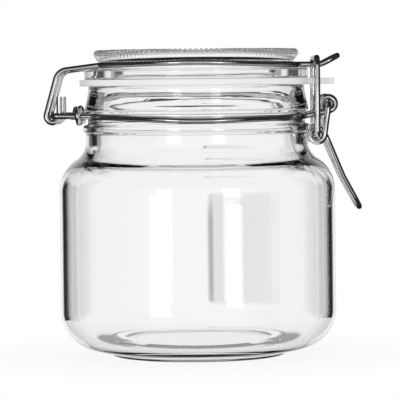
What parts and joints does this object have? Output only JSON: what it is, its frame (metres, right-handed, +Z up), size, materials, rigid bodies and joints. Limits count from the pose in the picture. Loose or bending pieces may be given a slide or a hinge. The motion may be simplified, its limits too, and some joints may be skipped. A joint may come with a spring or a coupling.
{
  "type": "glass storage jar",
  "caption": "Empty clear glass storage jar with a hinged glass lid, rubber seal and over-centre wire clamp.",
  "frame": {"origin": "centre of the ring that the jar stands on, on the jar's axis at table level", "axes": "+Z up the jar's axis, +X towards the clamp and its handle, -X towards the hinge of the lid, Y along the hinge bar, with -Y the side seen with the clamp on the right"},
  "size_m": [0.1323, 0.1162, 0.1278],
  "materials": {
    "clear_glass": "clear pressed soda-lime glass, smooth and glossy",
    "seal_rubber": "translucent whitish rubber, satin",
    "steel_wire": "drawn stainless steel wire, bright"
  },
  "bodies": {
    "jar": {"jar_glass": "clear_glass", "neck_wire": "steel_wire", "neck_tie": "steel_wire"},
    "lid": {"lid_glass": "clear_glass", "gasket": "seal_rubber", "lid_wire": "steel_wire"},
    "lever": {"lever_wire": "steel_wire"},
    "link": {"link_wire": "steel_wire"}
  },
  "joints": [
    {"name": "lid_hinge", "type": "hinge", "parent": "jar", "child": "lid", "pos_m": [-0.0594, 0, 0.1007], "axis": [0, -1, 0], "range_deg": [0, 105]},
    {"name": "lever_pivot", "type": "hinge", "parent": "jar", "child": "lever", "pos_m": [0.0547, 0, 0.1047], "axis": [0, 1, 0], "range_deg": [-36, 0]},
    {"name": "link_pivot", "type": "hinge", "parent": "lever", "child": "link", "pos_m": [0.0499, 0, 0.0917], "axis": [0, 1, 0], "range_deg": [0, 144]}
  ],
  "couplings": [
    {"joint": "link_pivot", "follows": "lever_pivot", "ratio": -4}
  ]
}
